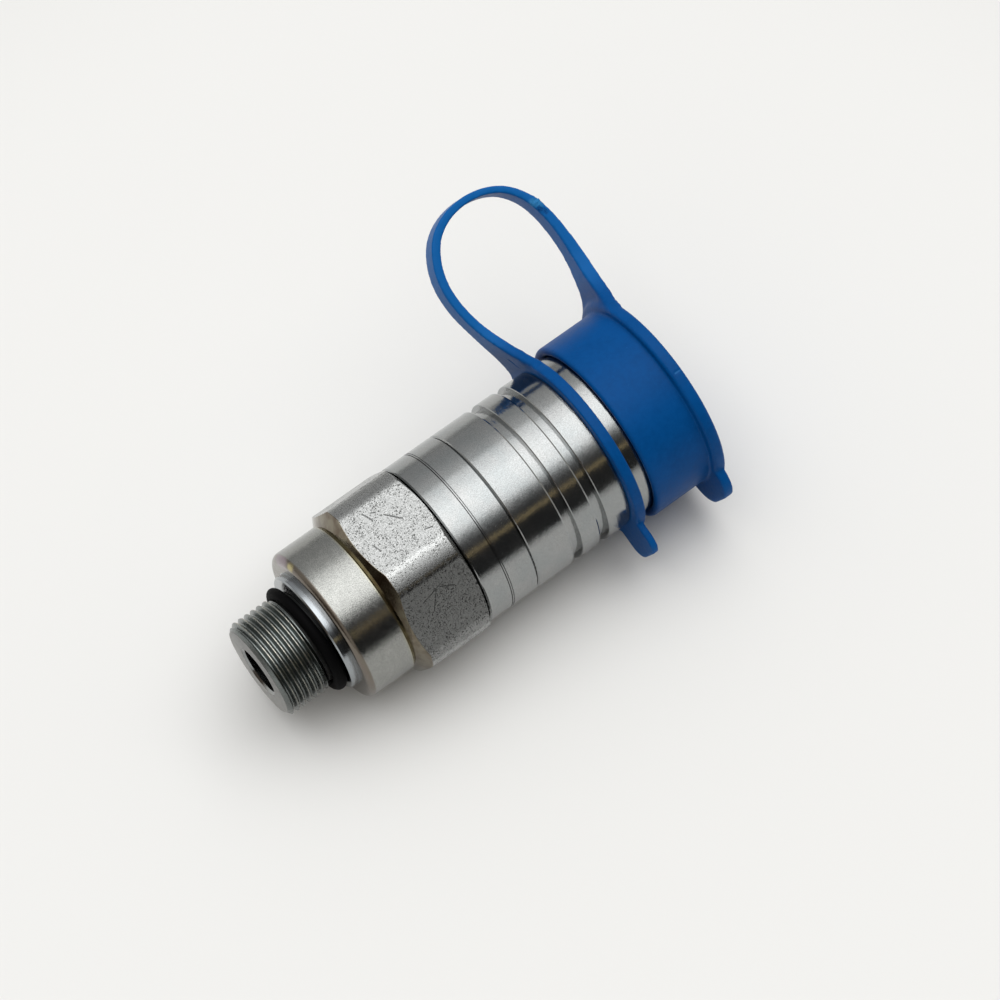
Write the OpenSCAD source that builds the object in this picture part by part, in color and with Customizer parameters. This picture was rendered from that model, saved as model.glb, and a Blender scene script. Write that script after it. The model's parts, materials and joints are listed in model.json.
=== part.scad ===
// Push-pull hydraulic quick coupler, female half, with a threaded stud end and a tethered dust cap.
// Millimetres. +X runs along the axis from the stud to the cap, +Z is up through one flat of the hexagon.
// The origin is on the axis at the inner end of the stud's thread, where the O-ring groove begins.

/* [Stud end] */
// Major diameter of the stud's thread
stud_d = 22; // [20:0.5:25]
// Length of the stud, from the sealing shoulder to its tip
stud_len = 13.7; // [12:0.1:18]
// Depth of the chamfer at the stud's tip
stud_tip_cut = 1.2; // [0.8:0.05:1.6]
// Bore through the stud
stud_bore_d = 10.5; // [8:0.1:14]
// Width of the O-ring groove between thread and shoulder
stud_groove_w = 3.3; // [2.8:0.1:4]
// Depth of that groove
stud_groove_cut = 1.2; // [1:0.05:1.6]
// Section of the stud's O-ring
stud_ring_w = 2.2; // [1.8:0.1:2.6]
// Lean of that O-ring in its groove, in degrees
stud_ring_lean = 2.6; // [0:0.1:3]
// How far the sealing shoulder stands out around the stud
shoulder_rise = 2.5; // [2:0.1:3.5]
// Length of the sealing shoulder
shoulder_w = 1.75; // [1:0.05:3]

/* [Collar and hexagon] */
// How far the smooth collar lies below the hexagon's flats
collar_step = 1.5; // [1:0.05:2]
// Length of the collar
collar_len = 11.15; // [9:0.05:14]
// Rounding of the collar's front edge
collar_round = 1.7; // [0.5:0.1:2]
// How far the hexagon's turned corners stand above its flats
hex_corner_rise = 1.65; // [0.8:0.05:2.4]
// Length of the hexagon
hex_len = 18; // [16:0.5:24]
// Slope of the hexagon's end chamfers, from the end face
hex_slope = 30; // [20:1:40]

/* [Outer shells] */
// Wall of the front sleeve around the socket, which sets the size of all the outer pieces
sleeve_wall = 3.5; // [3.5:0.1:6]
// Length of the rear shell's smooth band
band_len = 12.1; // [10:0.1:16]
// Open seam at each end of the band
seam = 0.12; // [0.05:0.01:0.2]
// Chamfer on the shells' edges at the seams
edge_chamfer = 0.3; // [0.1:0.05:0.5]
// Distance of the pair of scored lines from the rear end of the band
score_at = 5.4; // [3:0.1:7]
// Width of one scored line, which is also the land between the two
score_w = 0.22; // [0.1:0.02:0.4]
// Depth of a scored line
score_depth = 0.15; // [0.05:0.01:0.3]
// How far the threaded spigots that join the shells lie below their outside
spigot_step = 3; // [2.5:0.1:3]
// Length of the rear spigot, inside the hexagon
rear_spigot = 9.5; // [8:0.1:10]
// Length of the front spigot, inside the sleeve
front_spigot = 6.3; // [5:0.1:6.4]
// Length of the front sleeve
sleeve_len = 41; // [40:0.1:46]
// Start of the first snap-ring groove, from the rear end of the sleeve
groove_at = 9.15; // [8:0.05:10]
// Distance from the first snap-ring groove to the second
groove_pitch = 6.8; // [5:0.1:8]
// Width of a snap-ring groove
groove_w = 2.3; // [1.6:0.1:2.6]
// Depth of a snap-ring groove
groove_depth = 1.3; // [0.5:0.1:1.4]
// Chamfer on the sleeve's nose
nose_chamfer = 1; // [0.4:0.1:1.5]

/* [Floating socket] */
// Bore that takes the mating probe
probe_d = 23.9; // [23.5:0.1:24.3]
// Wall of the socket around that bore
socket_wall = 3.5; // [3.2:0.1:3.7]
// Depth of the socket's face behind the sleeve's nose
socket_recess = 4.3; // [3:0.1:5.5]
// Travel of the socket each way from its centred place
travel = 6; // [4:0.1:6]
// Number of locking balls
ball_count = 10; // [6:1:12]
// Diameter of a locking ball
ball_d = 4.7; // [4:0.1:4.8]
// How far the balls stand into the bore
ball_proud = 1.25; // [0.8:0.05:1.5]
// Distance of the ball plane behind the socket's face
ball_setback = 8.7; // [8.2:0.1:9.5]
// Depth of the wide part of the bore
probe_depth = 17.9; // [16:0.1:18.5]
// Step from the wide bore down to the narrow one that seals on the probe's nose
seal_step = 1.6; // [1.2:0.1:2]
// Depth of the gland of the nose seal
nose_gland = 2.5; // [2:0.1:2.8]
// Step from the probe's bore down to the outside of the socket's tail
tail_step = 0.95; // [0.8:0.05:1.3]
// Wall of the tail around the valve chamber
tail_wall = 2; // [1.6:0.1:2.4]
// Depth of the gland of the tail seal
tail_gland = 2.55; // [2:0.05:2.8]

/* [Valve and springs] */
// Step from the valve chamber down to the opening in the seat
seat_step = 0.8; // [0.6:0.05:1.2]
// Opening stroke of the poppet
poppet_stroke = 6.5; // [4:0.1:7]
// Diameter of the poppet's stem
stem_d = 5; // [4:0.1:6]
// Wire of the two centring springs
centring_wire = 1.6; // [1.2:0.1:1.6]
// Wire of the poppet spring
poppet_wire = 1.2; // [0.8:0.1:1.4]
// Number of arms on the valve guide
guide_arms = 3; // [3:1:5]

/* [Dust cap, strap and ring] */
// Thickness of the cap's skirt
skirt_wall = 1.9; // [1.4:0.1:3]
// Length of the skirt, from its lip to the flange
skirt_len = 13.85; // [12:0.1:15]
// How far the cap's flange stands out around the skirt
flange_rise = 1.74; // [1:0.02:3]
// Thickness of the flange
flange_t = 2.9; // [2.4:0.1:4]
// Thickness of the cap's end disc
disc_t = 1.8; // [1.2:0.1:2.4]
// How far the strap's ring stands out around the sleeve
ring_rise = 2.2; // [1.6:0.1:4]
// Thickness of the ring
ring_t = 2.45; // [1.8:0.05:3]
// Middle of the ring, behind the nose of the sleeve
ring_back = 16.05; // [15.9:0.05:17]
// Depth of the sleeve's groove that the ring snaps into
ring_groove = 1; // [0.6:0.05:1.2]
// Width of the strap
strap_w = 6.3; // [5:0.1:8]
// Thickness of the strap at the middle of its loop
strap_t = 2.2; // [1.6:0.1:3]
// Height of the loop above the sleeve
loop_height = 36; // [28:0.5:46]
// Direction of the strap around the axis, in degrees from straight up
strap_angle = 60; // [40:1:80]
// Radius of the fillets where the strap flares into the ring
ring_fillet = 19; // [8:0.5:22]
// Radius of the fillets where the strap flares into the cap's flange
cap_fillet = 18; // [8:0.5:20]
// Reach of the ring's pull tab beyond the ring
ring_tab = 6; // [4:0.1:8]
// Width of the ring's pull tab
ring_tab_w = 13; // [10:0.5:16]
// Reach of the cap's pull tab beyond the flange
cap_tab = 3.8; // [2.5:0.1:6]
// Width of the cap's pull tab
cap_tab_w = 18; // [14:0.5:22]
// Turn of both pull tabs away from straight opposite the strap, in degrees
tab_turn = 3; // [0:0.5:8]

/* [Hidden] */
steel = "lightsteelblue";
spring_steel = "dimgray";
rubber = [0.08, 0.08, 0.09];
blue_plastic = [0.06, 0.33, 0.6];
$fn = 96;

// Clearances
slide_gap = 0.05;   // sliding fits
thread_gap = 0.05;  // screwed spigots
seal_gap = 0.05;    // a seal on the face that slides past it
loose_gap = 0.3;    // springs and washers around what they sit on
stop_gap = 0.3;     // left at a stop at the end of its travel
cap_gap = 0.06;     // cap and ring on the sleeve
cap_room = 1.5;     // from the socket pushed fully forward to the cap's disc
cut = 1;            // how far a cutting solid runs past what it cuts

// Radii, from the probe's bore outwards
probe_r = probe_d / 2;
socket_r = probe_r + socket_wall;
land_r = socket_r + slide_gap;
ball_r = ball_d / 2;
ball_ring_r = min(probe_r - ball_proud + ball_r, land_r - ball_r - 2 * slide_gap);
relief_r = probe_r + ball_d + 0.25;
shell_r = land_r + sleeve_wall;
spigot_r = shell_r - spigot_step;
tail_r = probe_r - tail_step;
chamber_r = tail_r - tail_wall;
seat_r = chamber_r - seat_step;
seal_bore_r = probe_r - seal_step;
spring_mean_r = tail_r + loose_gap + centring_wire / 2;
spring_room_r = spring_mean_r + centring_wire / 2 + 0.5;
stud_r = stud_d / 2;
stud_groove_r = stud_r - stud_groove_cut;
shoulder_r = stud_r + shoulder_rise;
collar_r = shell_r - collar_step;
hex_corner_r = shell_r + hex_corner_rise;
skirt_in_r = shell_r + cap_gap;
skirt_r = skirt_in_r + skirt_wall;
flange_r = skirt_r + flange_rise;
ring_r = shell_r + ring_rise;
loop_top = shell_r + loop_height;
ring_seat_r = shell_r - ring_groove;

// Stations of the outer pieces along the axis
tip_x = stud_groove_w - stud_len;
collar_x = stud_groove_w + shoulder_w;
hex_x = collar_x + collar_len;
hex_end = hex_x + hex_len;
band_x = hex_end + seam;
band_end = band_x + band_len;
sleeve_x = band_end + seam;
nose_x = sleeve_x + sleeve_len;
ring_x = nose_x - ring_back;

// Stations of the socket, at its centred place
face_x = nose_x - socket_recess;
ball_x = face_x - ball_setback;
step_x = face_x - probe_depth;
gland_w = 3.5;
gland_lip = 0.7;
seat_face_x = step_x - gland_w - 2 * gland_lip - 1.1;
back_x = seat_face_x - 0.4;
spigot_end = min(sleeve_x + front_spigot, back_x - travel - stop_gap);
seat_len = 2.3;
cone_x = seat_face_x - seat_len;
chamber_x = cone_x - (chamber_r - seat_r);

// Stations of the shells' inner faces
rear_end = band_x - rear_spigot;
stop_w = 1.8;
stop_x = band_end - stop_w + 0.2;
snap_w = 1.4;
washer_w = 1;
snap_x = rear_end + travel + stop_gap + 0.2;
washer_x = snap_x + snap_w;
tail_gland_w = 3.6;
tail_gland_x = rear_end - tail_gland_w - 1.4;
tail_end = tail_gland_x - travel - 1.1;
bore_end = tail_end - travel - stop_gap;

// Stations of the valve
poppet_face = seat_face_x + 0.7;
seal_w = 1.5;
seal_x = chamber_x + 0.65 * (cone_x - chamber_x) - seal_w / 2 - 0.65;
disc_back = seal_x - 1.65;
poppet_turns = 3.5;
spring_len = poppet_stroke + poppet_turns * poppet_wire + 0.6;
guide_x = disc_back - spring_len;
guide_w = 3;
hub_len = 3;
guide_rear = guide_x - guide_w;
guide_snap_w = 1.3;

// Stations of the cap
disc_x = face_x + travel + cap_room;
cap_end = disc_x + disc_t;
flange_x = cap_end - flange_t;
lip_x = flange_x - skirt_len;
flange_mid = cap_end - flange_t / 2;

// A solid turned about the axis from an outline of [x, radius] points.
module turned(outline) {
    rotate([0, 90, 0])
        rotate_extrude()
            polygon([for (p = outline) [p[1], p[0]]]);
}

// A plain ring of rectangular section.
module ring(x0, x1, r_in, r_out) {
    turned([[x0, r_in], [x1, r_in], [x1, r_out], [x0, r_out]]);
}

// A solid disc or rod along the axis.
module rod(x0, x1, r) {
    translate([x0, 0, 0])
        rotate([0, 90, 0])
            cylinder(h = x1 - x0, r = r);
}

// An O-ring around the axis, given by the middle of its section.
module o_ring(x, mean_r, section_r) {
    translate([x, 0, 0])
        rotate([0, 90, 0])
            rotate_extrude()
                translate([mean_r, 0])
                    circle(r = section_r, $fn = 48);
}

// Points of a quarter round in [x, radius] form, about a centre, from one angle to another.
function arc(x, r, rad, a0, a1, n = 6) =
    [for (i = [0:n]) let (a = a0 + (a1 - a0) * i / n) [x + rad * cos(a), r + rad * sin(a)]];

// Length along the axis of a chamfer of the hexagon's slope over a height.
function hex_run(height) = height * tan(hex_slope);

// The outline of the stud, the shoulder, the collar and the corners of the hexagon.
hex_root = hex_corner_r - collar_r;
stud_outline = concat(
    [
        [tip_x, 0],
        [tip_x, stud_r - stud_tip_cut],
        [tip_x + 1, stud_r],
        [0, stud_r],
        [0, stud_groove_r],
        [stud_groove_w, stud_groove_r],
        [stud_groove_w, shoulder_r - 0.3],
        [stud_groove_w + 0.3, shoulder_r],
        [collar_x, shoulder_r]
    ],
    arc(collar_x + collar_round, collar_r - collar_round, collar_round, 180, 90),
    [
        [hex_x - 0.4, collar_r],
        [hex_x, collar_r - 0.4],
        [hex_x + hex_run(hex_root + 0.4), hex_corner_r],
        [hex_end - hex_run(hex_corner_r - shell_r + 0.6), hex_corner_r],
        [hex_end, shell_r - 0.6],
        [hex_end, 0]
    ]
);

// Everything turned ahead of the hexagon, and the hexagon's flats behind it.
module hex_envelope() {
    rod(tip_x - cut, hex_x, hex_corner_r);
    translate([hex_x, 0, 0])
        rotate([0, 90, 0])
            rotate([0, 0, 30])
                cylinder(h = hex_len + cut, r = shell_r / cos(30), $fn = 6);
}

// Body with the stud, the collar and the hexagon, bored for the socket's tail and the rear spigot.
module stud_body() {
    neck_x = bore_end - (tail_r + slide_gap - stud_bore_d / 2);
    color(steel)
        difference() {
            intersection() {
                turned(stud_outline);
                hex_envelope();
            }
            turned([
                [tip_x - cut, 0],
                [tip_x - cut, stud_bore_d / 2 + 0.5 + cut],
                [tip_x + 0.5, stud_bore_d / 2],
                [neck_x, stud_bore_d / 2],
                [bore_end, tail_r + slide_gap],
                [tail_gland_x, tail_r + slide_gap],
                [tail_gland_x, tail_r + tail_gland + slide_gap],
                [tail_gland_x + tail_gland_w, tail_r + tail_gland + slide_gap],
                [tail_gland_x + tail_gland_w, tail_r + slide_gap],
                [rear_end - thread_gap, tail_r + slide_gap],
                [rear_end - thread_gap, spigot_r + thread_gap],
                [hex_end - 0.5, spigot_r + thread_gap],
                [hex_end + cut, spigot_r + thread_gap + 0.5 + cut],
                [hex_end + cut, 0]
            ]);
        }
}

// O-ring of the stud, which leans a little in its wide groove.
module stud_o_ring() {
    color(rubber)
        translate([stud_groove_w / 2, 0, 0])
            rotate([25, 0, 0])
                rotate([0, 0, stud_ring_lean])
                    o_ring(0, stud_groove_r + seal_gap + stud_ring_w / 2, stud_ring_w / 2);
}

// Groove for the O-ring that keeps dirt out of the rear spigot's thread.
shell_ring_w = 1.2;
shell_ring_x = band_x - 1.75;

// Rear shell: a smooth scored band between two threaded spigots, with the stop for both springs inside.
module rear_shell() {
    floor_r = spigot_r - shell_ring_w;
    score_x = band_x + score_at;
    color(steel)
        turned([
            [rear_end, spring_room_r],
            [rear_end, spigot_r - 0.6],
            [rear_end + 0.6, spigot_r],
            [shell_ring_x, spigot_r],
            [shell_ring_x, floor_r],
            [shell_ring_x + shell_ring_w + 0.2, floor_r],
            [shell_ring_x + shell_ring_w + 0.2, spigot_r],
            [band_x, spigot_r],
            [band_x, shell_r - edge_chamfer],
            [band_x + edge_chamfer, shell_r],
            [score_x, shell_r],
            [score_x, shell_r - score_depth],
            [score_x + score_w, shell_r - score_depth],
            [score_x + score_w, shell_r],
            [score_x + 2 * score_w, shell_r],
            [score_x + 2 * score_w, shell_r - score_depth],
            [score_x + 3 * score_w, shell_r - score_depth],
            [score_x + 3 * score_w, shell_r],
            [band_end - edge_chamfer, shell_r],
            [band_end, shell_r - edge_chamfer],
            [band_end, spigot_r],
            [spigot_end - 0.6, spigot_r],
            [spigot_end, spigot_r - 0.6],
            [spigot_end, spring_room_r],
            [stop_x + stop_w, spring_room_r],
            [stop_x + stop_w, tail_r + slide_gap],
            [stop_x, tail_r + slide_gap],
            [stop_x, spring_room_r]
        ]);
}

// O-ring on the rear spigot.
module shell_o_ring() {
    section_r = shell_ring_w / 2 - seal_gap / 2;
    color(rubber)
        o_ring(shell_ring_x + shell_ring_w / 2 + 0.1, spigot_r - shell_ring_w + section_r, section_r);
}

// A snap-ring groove in the sleeve's outline: its edges are broken and its floor is flat.
function groove(x) = [
    [x - 0.3, shell_r],
    [x, shell_r - 0.15],
    [x, shell_r - groove_depth],
    [x + groove_w, shell_r - groove_depth],
    [x + groove_w, shell_r - 0.15],
    [x + groove_w + 0.15, shell_r]
];

// Front sleeve: grooved outside, and inside it the land that holds the balls in and a relief each side of it.
module front_sleeve() {
    land_half = ball_r + 0.25;
    relief_reach = travel + ball_r + 0.4;
    slope = relief_r - land_r;
    seat_half = ring_t / 2 + 0.2;
    color(steel)
        turned(concat(
            [
                [sleeve_x, spigot_r + thread_gap],
                [sleeve_x, shell_r - edge_chamfer],
                [sleeve_x + edge_chamfer, shell_r]
            ],
            groove(sleeve_x + groove_at),
            groove(sleeve_x + groove_at + groove_pitch),
            [
                [ring_x - seat_half, shell_r],
                [ring_x - seat_half, ring_seat_r],
                [ring_x + seat_half, ring_seat_r],
                [ring_x + seat_half, shell_r],
                [nose_x - nose_chamfer, shell_r],
                [nose_x, shell_r - nose_chamfer],
                [nose_x, land_r + 0.5],
                [nose_x - 0.5, land_r],
                [ball_x + relief_reach, land_r],
                [ball_x + relief_reach, relief_r],
                [ball_x + land_half + slope, relief_r],
                [ball_x + land_half, land_r],
                [ball_x - land_half, land_r],
                [ball_x - land_half - slope, relief_r],
                [ball_x - relief_reach, relief_r],
                [ball_x - relief_reach, land_r],
                [spigot_end + stop_gap / 2, land_r],
                [spigot_end + stop_gap / 2, spigot_r + thread_gap]
            ]
        ));
}

// O-ring and back-up ring in the body, which seal on the socket's tail.
backup_w = 1.1;
module tail_o_ring() {
    section_r = (tail_gland_w - backup_w) / 2;
    mean_r = tail_r + seal_gap + section_r;
    color(rubber)
        intersection() {
            o_ring(tail_gland_x + section_r, mean_r, section_r);
            ring(tail_gland_x, tail_gland_x + tail_gland_w, tail_r, tail_r + tail_gland);
        }
}

module tail_backup_ring() {
    x = tail_gland_x + tail_gland_w - backup_w;
    color("ivory")
        ring(x, x + backup_w, tail_r + seal_gap, tail_r + tail_gland);
}

// One tapered pocket for a locking ball, which keeps the ball from falling into the bore.
module ball_pocket() {
    lip_r = sqrt(pow(ball_r, 2) - pow(ball_ring_r - probe_r, 2)) + 0.08;
    top_r = ball_r + 0.1;
    translate([ball_x, 0, 0]) {
        translate([0, 0, probe_r - 0.2])
            cylinder(h = ball_ring_r - probe_r + 0.2, r1 = lip_r, r2 = top_r, $fn = 32);
        translate([0, 0, ball_ring_r - 0.01])
            cylinder(h = socket_r - ball_ring_r + cut, r = top_r, $fn = 32);
    }
}

// Floating socket: the probe's bore with its ball pockets and gland in front, the valve's tail behind.
module socket() {
    gland_x = step_x - gland_lip - gland_w;
    lead = 1.2;
    color(steel)
        difference() {
            turned([
                [face_x, probe_r + lead * tan(30)],
                [face_x, socket_r - 0.5],
                [face_x - 0.5, socket_r],
                [back_x, socket_r],
                [back_x, tail_r],
                [washer_x, tail_r],
                [washer_x, tail_r - 0.8],
                [snap_x, tail_r - 0.8],
                [snap_x, tail_r],
                [tail_end + 0.8, tail_r],
                [tail_end, tail_r - 0.5],
                [tail_end, chamber_r + 0.5],
                [tail_end + 0.5, chamber_r],
                [guide_rear - guide_snap_w, chamber_r],
                [guide_rear - guide_snap_w, chamber_r + 0.6],
                [guide_rear, chamber_r + 0.6],
                [guide_rear, chamber_r],
                [chamber_x, chamber_r],
                [cone_x, seat_r],
                [seat_face_x, seat_r],
                [seat_face_x, seal_bore_r],
                [gland_x, seal_bore_r],
                [gland_x, seal_bore_r + nose_gland],
                [gland_x + gland_w, seal_bore_r + nose_gland],
                [gland_x + gland_w, seal_bore_r],
                [step_x - (probe_r - seal_bore_r) / 3, seal_bore_r],
                [step_x + (probe_r - seal_bore_r) * 2 / 3, probe_r],
                [face_x - lead, probe_r]
            ]);
            for (i = [0:ball_count - 1])
                rotate([i * 360 / ball_count, 0, 0])
                    ball_pocket();
        }
}

module locking_balls() {
    color("silver")
        for (i = [0:ball_count - 1])
            rotate([i * 360 / ball_count, 0, 0])
                translate([ball_x, 0, ball_ring_r])
                    sphere(r = ball_r, $fn = 32);
}

// O-ring and back-up ring in the socket, which seal on the probe's nose.
nose_gland_x = step_x - gland_lip - gland_w;
module nose_o_ring() {
    section_r = min(gland_w - backup_w, nose_gland) / 2;
    color(rubber)
        o_ring(nose_gland_x + gland_w - section_r, seal_bore_r + nose_gland - section_r, section_r);
}

module nose_backup_ring() {
    color("ivory")
        ring(nose_gland_x, nose_gland_x + backup_w, seal_bore_r + 0.1, seal_bore_r + nose_gland);
}

// A split retaining ring of rectangular section.
module split_ring(x0, x1, r_in, r_out, gap) {
    difference() {
        ring(x0, x1, r_in, r_out);
        translate([x0 - cut, -gap / 2, 0])
            cube([x1 - x0 + 2 * cut, gap, r_out + cut]);
    }
}

module tail_snap_ring() {
    color(spring_steel)
        split_ring(snap_x, washer_x, tail_r - 0.8, tail_r + 1.3, 3);
}

module spring_washer() {
    color(steel)
        ring(washer_x, washer_x + washer_w, tail_r + slide_gap, spring_room_r - loose_gap);
}

module guide_snap_ring() {
    color(spring_steel)
        split_ring(guide_rear - guide_snap_w, guide_rear, chamber_r - 1.1, chamber_r + 0.6, 3);
}

// Height along a coil spring after a given number of turns: the end turns lie closed, the rest stand open.
function coil_rise(t, turns, dead, wire, length) =
    let (closed = wire * 1.05, open = (length - wire - 2 * dead * closed) / (turns - 2 * dead))
    t < dead ? t * closed
    : t < turns - dead ? dead * closed + (t - dead) * open
    : dead * closed + (turns - 2 * dead) * open + (t - turns + dead) * closed;

// A round-wire coil spring around the axis, swept as one closed surface.
module coil(x, length, mean_r, wire, turns) {
    dead = 0.75;
    steps = 20;
    sides = 8;
    count = round(turns * steps);
    points = [
        for (i = [0:count], j = [0:sides - 1])
            let (t = i / steps, a = t * 360, b = j * 360 / sides + 180 / sides,
                 r = mean_r + wire / 2 * cos(b))
            [
                x + wire / 2 + coil_rise(t, turns, dead, wire, length) + wire / 2 * sin(b),
                r * cos(a),
                r * sin(a)
            ]
    ];
    skin = [
        for (i = [0:count - 1], j = [0:sides - 1])
            let (k = (j + 1) % sides)
            [i * sides + j, (i + 1) * sides + j, (i + 1) * sides + k, i * sides + k]
    ];
    caps = [
        [for (j = [0:sides - 1]) j],
        [for (j = [0:sides - 1]) count * sides + sides - 1 - j]
    ];
    polyhedron(points = points, faces = concat(skin, caps), convexity = 6);
}

// The two springs that centre the socket, on either side of the rear shell's inner stop.
centring_turns = 3;
module rear_centring_spring() {
    x = washer_x + washer_w;
    color(spring_steel)
        coil(x, stop_x - x, spring_mean_r, centring_wire, centring_turns);
}

module front_centring_spring() {
    x = stop_x + stop_w;
    color(spring_steel)
        coil(x, back_x - x, spring_mean_r, centring_wire, centring_turns);
}

// Spider that guides the poppet's stem and carries its spring.
module valve_guide() {
    rim = 1.6;
    hub_r = stem_d / 2 + 1.7;
    color(steel)
        difference() {
            union() {
                ring(guide_rear, guide_x, chamber_r - slide_gap - rim, chamber_r - slide_gap);
                rod(guide_rear, guide_x + hub_len, hub_r);
                for (i = [0:guide_arms - 1])
                    rotate([i * 360 / guide_arms, 0, 0])
                        translate([guide_rear, -1, 0])
                            cube([guide_w, 2, chamber_r - slide_gap - rim / 2]);
            }
            rod(guide_rear - cut, guide_x + hub_len + cut, stem_d / 2 + slide_gap);
        }
}

// Poppet: nose, seal groove, spring disc and stem.
module poppet() {
    nose_r = seat_r - 0.3;
    color(steel)
        turned([
            [guide_rear - 4, 0],
            [guide_rear - 4, stem_d / 2 - 0.5],
            [guide_rear - 3.5, stem_d / 2],
            [disc_back, stem_d / 2],
            [disc_back, chamber_r - 0.4],
            [seal_x, chamber_r - 0.4],
            [seal_x, nose_r - 0.7],
            [seal_x + seal_w, nose_r - 0.7],
            [seal_x + seal_w, nose_r],
            [poppet_face - 0.4, nose_r],
            [poppet_face, nose_r - 0.4],
            [poppet_face, 3],
            [poppet_face - 0.6, 2.4],
            [poppet_face - 0.6, 0]
        ]);
}

module poppet_seal() {
    section_r = seal_w / 2;
    color(rubber)
        o_ring(seal_x + section_r, seat_r - 1 + section_r, section_r);
}

module poppet_spring() {
    color(spring_steel)
        coil(guide_x, disc_back - guide_x, stem_d / 2 + 1.7 + loose_gap + poppet_wire / 2, poppet_wire, poppet_turns);
}

// The cap, the strap and the ring lie along one direction around the axis.
module moulding_frame() {
    rotate([-strap_angle, 0, 0])
        children();
}

// A flat plate in the plane across the axis, drawn as [sideways, outwards], between two stations.
module plate(x0, x1) {
    translate([x0, 0, 0])
        rotate([90, 0, 90])
            linear_extrude(height = x1 - x0)
                children();
}

// Outline of a pull tab with rounded corners, on the side away from the strap.
module tab_outline(reach, width, corner) {
    translate([-width / 2, corner - reach])
        square([width, reach - corner]);
    translate([corner - width / 2, -reach])
        square([width - 2 * corner, reach]);
    for (side = [-1, 1])
        translate([side * (width / 2 - corner), corner - reach])
            circle(r = corner, $fn = 48);
}

// Where the strap leaves the ring and the cap's flange.
ring_root = ring_r + 0.8;
cap_root = flange_r + 0.6;

// The flared root of the strap: two fillets, tangent to its straight sides and to the disc it grows from.
function fillet_top(disc_r, fillet) = sqrt(pow(disc_r + fillet, 2) - pow(strap_w / 2 + fillet, 2));
module root_outline(disc_r, fillet) {
    half = disc_r * (strap_w / 2 + fillet) / (disc_r + fillet);
    top = fillet_top(disc_r, fillet);
    difference() {
        translate([-half, 0])
            square([2 * half, top]);
        for (side = [-1, 1])
            translate([side * (strap_w / 2 + fillet), top])
                circle(r = fillet);
    }
}

// Half plane below a given distance from the axis.
module below(limit) {
    translate([-40, -40])
        square([80, 40 + limit]);
}

// The strap's root on the ring or the flange: flared seen along the axis, and seen from its side leaning
// from the disc's two faces to where the strap begins.
module strap_root(x0, x1, from_r, disc_r, fillet, root_r, foot) {
    middle = strap_line[foot][0];
    reach = 2 * disc_r;
    half = strap_line[foot][2] / 2;
    intersection() {
        plate(x0 - disc_r, x1 + disc_r)
            intersection() {
                root_outline(disc_r, fillet);
                below(root_r);
            }
        rotate([90, 0, 0])
            translate([0, 0, -reach / 2])
                linear_extrude(height = reach)
                    polygon([[x0, from_r], [x1, from_r], [middle + half, root_r], [middle - half, root_r]]);
    }
}

module strap_ring() {
    x0 = ring_x - ring_t / 2;
    x1 = ring_x + ring_t / 2;
    color(blue_plastic)
        moulding_frame()
            difference() {
                union() {
                    rod(x0, x1, ring_r);
                    plate(x0, x0 + 0.65 * ring_t)
                        rotate(-tab_turn)
                            tab_outline(ring_r + ring_tab, ring_tab_w, 3.5);
                    strap_root(x0, x1, shell_r + 0.3, ring_r, ring_fillet, ring_root, 0);
                }
                rod(x0 - cut, x1 + cut, ring_seat_r + cap_gap);
            }
}

// Control points of the strap's middle line: share of the way from ring to flange, offset along the
// axis, height as a share of the way from the strap's foot to its top, thickness as a share of strap_t.
strap_knots = [
    [0, -0.9, 0, 1.05],
    [0, -2.1, 0.103, 1],
    [0, -3.9, 0.267, 0.9],
    [0, -5.15, 0.44, 0.88],
    [0, -5.3, 0.606, 0.88],
    [0, -4.0, 0.758, 0.88],
    [0, -1.1, 0.894, 0.86],
    [0, 3.1, 0.973, 0.79],
    [0.5, -1.8, 1, 0.74],
    [1, -6.75, 0.979, 0.7],
    [1, -2.6, 0.91, 0.72],
    [1, 0.4, 0.787, 0.83],
    [1, 1.95, 0.637, 0.95],
    [1, 2.55, 0.463, 1.04],
    [1, 2.55, 0.289, 1.2],
    [1, 2.1, 0.131, 1.3],
    [1, 1.55, 0, 1.28]
];
last_knot = len(strap_knots) - 1;
strap_foot = [for (k = strap_knots) k[0] < 0.75 ? ring_root : cap_root + cap_gap];
strap_line = [
    for (i = [0:last_knot])
        let (k = strap_knots[i])
        [
            ring_x + k[0] * (flange_mid - ring_x) + k[1],
            strap_foot[i] + k[2] * (loop_top - strap_foot[i]),
            strap_t * k[3]
        ]
];

// A point between two knots of the strap, on a smooth curve through its neighbours.
function blend_point(a, b, c, d, t) =
    (2 * b + (c - a) * t + (2 * a - 5 * b + 4 * c - d) * t * t + (3 * b - a - 3 * c + d) * t * t * t) / 2;
function knot(i) = strap_line[max(0, min(last_knot, i))];
strap_steps = 4;
strap_path = concat(
    [
        for (i = [0:last_knot - 1], s = [0:strap_steps - 1])
            blend_point(knot(i - 1), knot(i), knot(i + 1), knot(i + 2), s / strap_steps)
    ],
    [knot(last_knot)]
);
strap_last = len(strap_path) - 1;

// Unit normal of the strap's path at a point; at both feet it runs along the axis.
function path_normal(i) =
    i == 0 || i == strap_last ? [i == 0 ? -1 : 1, 0]
    : let (d = strap_path[i + 1] - strap_path[i - 1], n = norm([d[0], d[1]])) [-d[1] / n, d[0] / n];
function strap_side(sign) = [
    for (i = [0:strap_last])
        [strap_path[i][0], strap_path[i][1]] + sign * strap_path[i][2] / 2 * path_normal(i)
];

// The strap seen from its side, as drawn in the plane of its loop.
module strap_profile() {
    inner = strap_side(-1);
    outer = strap_side(1);
    polygon(concat(outer, [for (i = [strap_last:-1:0]) inner[i]]));
}

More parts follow.
